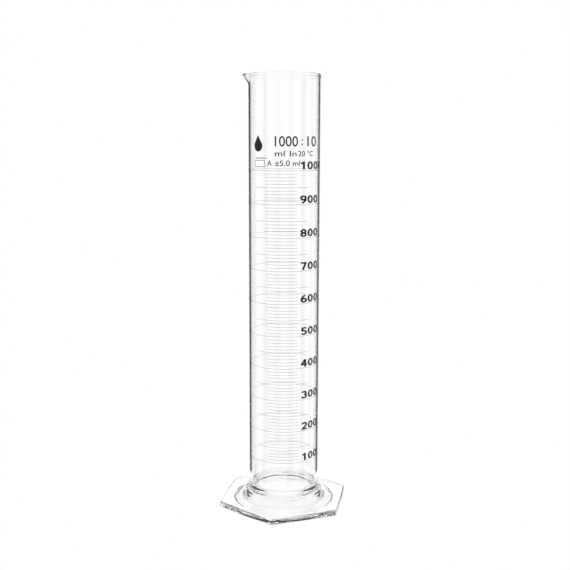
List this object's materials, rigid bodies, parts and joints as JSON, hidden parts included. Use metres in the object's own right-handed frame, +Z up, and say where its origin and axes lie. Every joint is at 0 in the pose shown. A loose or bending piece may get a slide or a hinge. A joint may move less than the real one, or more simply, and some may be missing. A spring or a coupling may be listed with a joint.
{
  "type": "graduated measuring cylinder",
  "caption": "Tall clear glass measuring cylinder with a pouring spout, ring and line graduations, printed numerals and a hexagonal foot.",
  "frame": {"origin": "under the middle of the foot, on the surface that the cylinder stands on", "axes": "+Z up along the bore; -Y is the front, which the middle of the scale faces within 6 degrees; the spout is on the -X side and the numerals run towards +X"},
  "size_m": [0.1248, 0.13, 0.418],
  "materials": {
    "borosilicate_glass": "clear, colourless, fire polished",
    "fired_enamel": "black-brown ceramic enamel fired on to the glass, satin"
  },
  "bodies": {
    "root": {"hexagonal_foot": "borosilicate_glass", "measuring_tube": "borosilicate_glass", "mid_mark_0150_ml": "fired_enamel", "mid_mark_0250_ml": "fired_enamel", "mid_mark_0350_ml": "fired_enamel", "mid_mark_0450_ml": "fired_enamel", "mid_mark_0550_ml": "fired_enamel", "mid_mark_0650_ml": "fired_enamel", "mid_mark_0750_ml": "fired_enamel", "mid_mark_0850_ml": "fired_enamel", "mid_mark_0950_ml": "fired_enamel", "numeral_0100_digit_1": "fired_enamel", "numeral_0100_digit_2": "fired_enamel", "numeral_0100_digit_3": "fired_enamel", "numeral_0200_digit_1": "fired_enamel", "numeral_0200_digit_2": "fired_enamel", "numeral_0200_digit_3": "fired_enamel", "numeral_0300_digit_1": "fired_enamel", "numeral_0300_digit_2": "fired_enamel", "numeral_0300_digit_3": "fired_enamel", "numeral_0400_digit_1": "fired_enamel", "numeral_0400_digit_2": "fired_enamel", "numeral_0400_digit_3": "fired_enamel", "numeral_0500_digit_1": "fired_enamel", "numeral_0500_digit_2": "fired_enamel", "numeral_0500_digit_3": "fired_enamel", "numeral_0600_digit_1": "fired_enamel", "numeral_0600_digit_2": "fired_enamel", "numeral_0600_digit_3": "fired_enamel", "numeral_0700_digit_1": "fired_enamel", "numeral_0700_digit_2": "fired_enamel", "numeral_0700_digit_3": "fired_enamel", "numeral_0800_digit_1": "fired_enamel", "numeral_0800_digit_2": "fired_enamel", "numeral_0800_digit_3": "fired_enamel", "numeral_0900_digit_1": "fired_enamel", "numeral_0900_digit_2": "fired_enamel", "numeral_0900_digit_3": "fired_enamel", "numeral_1000_digit_1": "fired_enamel", "numeral_1000_digit_2": "fired_enamel", "numeral_1000_digit_3": "fired_enamel", "numeral_1000_digit_4": "fired_enamel", "ring_mark_0100_ml": "fired_enamel", "ring_mark_0200_ml": "fired_enamel", "ring_mark_0300_ml": "fired_enamel", "ring_mark_0400_ml": "fired_enamel", "ring_mark_0500_ml": "fired_enamel", "ring_mark_0600_ml": "fired_enamel", "ring_mark_0700_ml": "fired_enamel", "ring_mark_0800_ml": "fired_enamel", "ring_mark_0900_ml": "fired_enamel", "ring_mark_1000_ml": "fired_enamel"}
  },
  "joints": []
}
